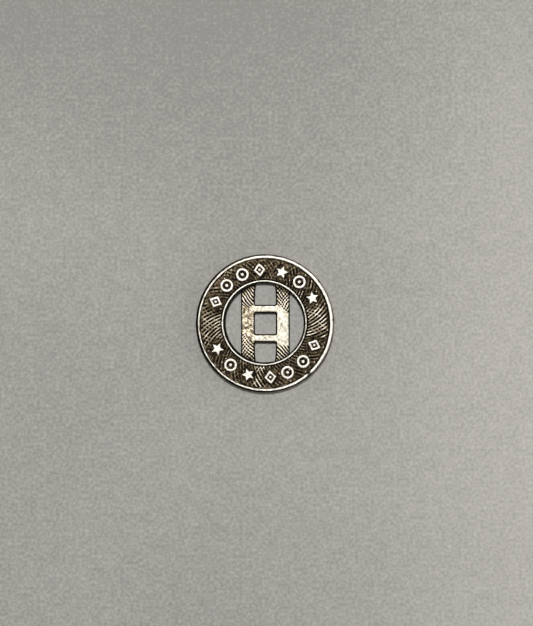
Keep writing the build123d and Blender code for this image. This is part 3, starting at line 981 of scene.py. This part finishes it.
def make_relief(name, side, nodes):
    shapes = ornament_shapes()
    patterns = {}
    for kind, islands in shapes.items():
        parts = []
        for loops in islands:
            flat, tris, idx = fill(loops, [True] * len(loops), [0.009, 0.022, 0.040], 0.030)
            w = np.cross(flat[tris[:, 1]] - flat[tris[:, 0]], flat[tris[:, 2]] - flat[tris[:, 0]])
            tris = np.where((w < 0)[:, None], tris[:, ::-1], tris)
            parts.append((loops, flat, tris, idx, to_segments(flat, loops)))
        patterns[kind] = parts
    verts, exposures, faces, uvs = [], [], [], []
    base = 0
    z_face = RELIEF_Z1
    z_foot = BAND_Z1 - 0.085
    for number, (clock, kind) in enumerate(ORNAMENTS):
        a = math.radians(clock)
        ca, sa = math.cos(-a), math.sin(-a)
        turn = np.array([[ca, sa], [-sa, ca]])
        centre = np.array([ORNAMENT_R * math.sin(a), ORNAMENT_R * math.cos(a)])
        worn_low = 0.012 * lattice(np.int64(number), np.int64(3), 401 if side > 0 else 433)
        for loops, flat, tris, idx, d in patterns[kind]:
            p = flat @ turn + centre
            n = len(p)
            rough = layered(p[:, 0] * 4.0, p[:, 1] * 4.0, 411, 2)
            dip = worn_low + 0.010 * rough
            z = z_face - dip - soften(d, 0.052) * 1.15
            e = 0.93 - 0.60 * (1 - step(0.0, 0.050, d)) - 0.26 * (rough - 0.5)
            verts.append(np.column_stack([p, z]))
            exposures.append(e)
            foot_flat = flat.copy()
            spread = 0.018
            for l, ids in zip(loops, idx):
                foot_flat[ids] = l - inward(l, True) * spread
            pf = foot_flat @ turn + centre
            verts.append(np.column_stack([pf, np.full(n, z_foot)]))
            exposures.append(np.full(n, 0.05))
            faces += [tris + base, tris[:, ::-1] + base + n]
            uvs += [p[tris] / (2 * TOKEN_R) * 0.99 + 0.5, pf[tris[:, ::-1]] / (2 * TOKEN_R) * 0.25 + 0.5]
            top_z = z
            off = base + 2 * n
            for l, ids in zip(loops, idx):
                m = len(ids)
                out = -inward(l, True)
                mids = []
                for t, ez in ((0.35, 0.26), (0.72, 0.10)):
                    q = (l + out * spread * t) @ turn + centre
                    zz = top_z[ids] * (1 - t) + z_foot * t
                    verts.append(np.column_stack([q, zz]))
                    exposures.append(np.full(m, ez))
                    mids.append(off + np.arange(m))
                    off += m
                chain = [ids + base] + mids + [ids + base + n]
                for k in range(3):
                    u, v = chain[k], chain[k + 1]
                    quad = np.stack([u, v, np.roll(v, -1), np.roll(u, -1)], 1)
                    g0, g1 = 0.11 * k / 3, 0.11 * (k + 1) / 3
                    l0, l1 = (l + out * g0) @ turn + centre, (l + out * g1) @ turn + centre
                    uv = np.stack([l0, l1, np.roll(l1, -1, axis=0), np.roll(l0, -1, axis=0)], 1)
                    faces.append(quad)
                    uvs.append(uv / (2 * TOKEN_R) * 0.99 + 0.5)
            base = off
    V, E = np.concatenate(verts), np.concatenate(exposures)
    if side < 0:
        V = V.copy()
        V[:, 2] = TOKEN_T - V[:, 2]
        faces = [f[:, ::-1] for f in faces]
        uvs = [u[:, ::-1] for u in uvs]
    return build(name, V, faces, uvs, {"exposure": np.clip(E, 0, 1), "hue": np.full(len(E), 0.35)},
                 relief_metal, nodes)


make_outer_rim()
make_inner_rim()
make_band("engraved_band_obverse", +1)
make_band("engraved_band_reverse", -1)
make_ladder()
make_relief("relief_obverse", +1, ["obverse_ornaments"])
make_relief("relief_reverse", -1, ["reverse_ornaments"])

# ---------------------------------------------------------------------------
# Studio: pale floor that sweeps up all round, soft light from above
# ---------------------------------------------------------------------------
scene = bpy.context.scene


def make_floor():
    turns = 96
    prof = [(0.0, 0.0)] + [(r, 0.0) for r in np.linspace(0.01, 0.34, 18)]
    for k in range(1, 17):
        a = math.radians(90 * k / 16)
        prof.append((0.34 + 0.16 * math.sin(a), 0.16 - 0.16 * math.cos(a)))
    prof += [(0.50, 0.20), (0.50, 0.26)]
    verts, faces = [(0.0, 0.0, 0.0)], []
    for r, z in prof[1:]:
        for k in range(turns):
            t = 2 * math.pi * k / turns
            verts.append((r * math.cos(t), r * math.sin(t), z))
    for k in range(turns):
        faces.append((0, 1 + k, 1 + (k + 1) % turns))
    for j in range(len(prof) - 2):
        for k in range(turns):
            a, b = 1 + j * turns + k, 1 + j * turns + (k + 1) % turns
            faces.append((a, a + turns, b + turns, b))
    mesh = bpy.data.meshes.new("studio_floor")
    mesh.from_pydata(verts, [], faces)
    mesh.polygons.foreach_set("use_smooth", [True] * len(mesh.polygons))
    m = bpy.data.materials.new("studio_floor")
    tree, nodes, links = nodes_of(m)
    out = nodes.new("ShaderNodeOutputMaterial")
    bsdf = nodes.new("ShaderNodeBsdfPrincipled")
    links.new(bsdf.outputs[0], out.inputs[0])
    coord = nodes.new("ShaderNodeTexCoord").outputs["Object"]
    broad = nodes.new("ShaderNodeTexNoise")
    broad.inputs["Scale"].default_value = 30.0
    broad.inputs["Detail"].default_value = 2.0
    links.new(coord, broad.inputs["Vector"])
    fine = nodes.new("ShaderNodeTexNoise")
    fine.inputs["Scale"].default_value = 2600.0
    fine.inputs["Detail"].default_value = 3.0
    links.new(coord, fine.inputs["Vector"])
    mid = nodes.new("ShaderNodeTexNoise")
    mid.inputs["Scale"].default_value = 620.0
    mid.inputs["Detail"].default_value = 2.0
    links.new(coord, mid.inputs["Vector"])
    level = maths(nodes, links, "ADD",
                  maths(nodes, links, "MULTIPLY", broad.outputs[0], 0.22),
                  maths(nodes, links, "MULTIPLY", fine.outputs[0], 0.70))
    level = maths(nodes, links, "ADD", level, maths(nodes, links, "MULTIPLY", mid.outputs[0], 0.20))
    place = nodes.new("ShaderNodeSeparateXYZ")
    links.new(coord, place.inputs[0])
    # painted light: the floor's colour is made paler towards +x, a painted fall-off of the light across the floor
    across = nodes.new("ShaderNodeMapRange")
    across.interpolation_type = "SMOOTHSTEP"
    across.inputs["From Min"].default_value, across.inputs["From Max"].default_value = 0.002, 0.036
    across.inputs["To Min"].default_value, across.inputs["To Max"].default_value = -0.115, 0.095
    links.new(place.outputs[0], across.inputs["Value"])
    level = maths(nodes, links, "ADD", level, across.outputs[0])
    # painted shade: the floor's colour is made darker towards +y
    up = nodes.new("ShaderNodeMapRange")
    up.inputs["From Min"].default_value, up.inputs["From Max"].default_value = 0.012, 0.036
    up.inputs["To Min"].default_value, up.inputs["To Max"].default_value = 0.0, -0.14
    links.new(place.outputs[1], up.inputs["Value"])
    level = maths(nodes, links, "ADD", level, up.outputs[0])
    # painted light: the floor is painted a little paler under the token, where it is only lit through the hole
    radius = nodes.new("ShaderNodeVectorMath")
    radius.operation = "LENGTH"
    flat = nodes.new("ShaderNodeCombineXYZ")
    links.new(place.outputs[0], flat.inputs[0])
    links.new(place.outputs[1], flat.inputs[1])
    links.new(flat.outputs[0], radius.inputs[0])
    under = nodes.new("ShaderNodeMapRange")
    under.inputs["From Min"].default_value, under.inputs["From Max"].default_value = 0.0050, 0.0070
    under.inputs["To Min"].default_value, under.inputs["To Max"].default_value = 0.225, 0.0
    links.new(radius.outputs["Value"], under.inputs["Value"])
    level = maths(nodes, links, "ADD", level, under.outputs[0])
    tone = ramp(nodes, [(0.28, (0.447, 0.434, 0.404)), (0.72, (0.770, 0.748, 0.691)), (1.0, (0.975, 0.948, 0.875))])
    links.new(level, tone.inputs[0])
    links.new(tone.outputs[0], bsdf.inputs["Base Color"])
    # the sweep glows a little towards its top, as a lit backdrop does
    glow = nodes.new("ShaderNodeMapRange")
    glow.inputs["From Min"].default_value, glow.inputs["From Max"].default_value = 0.004, 0.120
    glow.inputs["To Min"].default_value, glow.inputs["To Max"].default_value = 0.0, 0.26
    links.new(place.outputs[2], glow.inputs["Value"])
    links.new(glow.outputs[0], bsdf.inputs["Emission Strength"])
    bsdf.inputs["Emission Color"].default_value = (1.0, 0.985, 0.955, 1)
    bsdf.inputs["Roughness"].default_value = 0.85
    bsdf.inputs["Specular IOR Level"].default_value = 0.2
    b = nodes.new("ShaderNodeBump")
    b.inputs["Strength"].default_value = 0.25
    b.inputs["Distance"].default_value = 0.00004
    links.new(fine.outputs[0], b.inputs["Height"])
    links.new(b.outputs[0], bsdf.inputs["Normal"])
    mesh.materials.append(m)
    obj = bpy.data.objects.new("studio_floor", mesh)
    scene.collection.objects.link(obj)


make_floor()

world = bpy.data.worlds.new("studio")
world.use_nodes = True
world.node_tree.nodes["Background"].inputs[0].default_value = (0.93, 0.96, 1.0, 1)
world.node_tree.nodes["Background"].inputs[1].default_value = 0.035
scene.world = world


def area(name, size, radiance, position, target=(0, 0, 0), colour=(1, 1, 1), shape="DISK"):
    light = bpy.data.lights.new(name, "AREA")
    light.shape = shape
    light.size = size
    if shape in ("RECTANGLE", "ELLIPSE"):
        light.size_y = size
    surface = math.pi * (size / 2) ** 2 if shape == "DISK" else size * size
    light.energy = radiance * math.pi * surface
    light.color = colour
    obj = bpy.data.objects.new(name, light)
    obj.location = position
    obj.rotation_euler = (Vector(target) - Vector(position)).to_track_quat("-Z", "Y").to_euler()
    scene.collection.objects.link(obj)
    return obj


area("key_soft", 0.055, 118.0, (-0.006, 0.092, 0.440))
area("fill_top", 0.80, 0.13, (0.0, 0.0, 0.75))
area("fill_right", 0.22, 0.75, (0.27, 0.05, 0.16))
area("low_back", 0.16, 1.35, (-0.30, 0.30, 0.20))
area("low_front", 0.16, 1.25, (0.30, -0.30, 0.17))

camera_data = bpy.data.cameras.new("camera")
camera = bpy.data.objects.new("camera", camera_data)
scene.collection.objects.link(camera)
scene.camera = camera
CAMERA_H = 0.25
PX_PER_MM = 8.4
camera_data.sensor_width = 36.0
camera_data.lens = 36.0 * CAMERA_H * 1000.0 / (626.0 / PX_PER_MM)
camera_data.clip_start, camera_data.clip_end = 0.005, 5.0
camera.location = (1.53 / PX_PER_MM * MM, 10.46 / PX_PER_MM * MM, CAMERA_H + TOKEN_T * MM)
camera.rotation_euler = (0, 0, 0)

scene.view_settings.view_transform = "Standard"
scene.view_settings.look = "None"
scene.view_settings.exposure = 0.0
scene.view_settings.gamma = 1.0
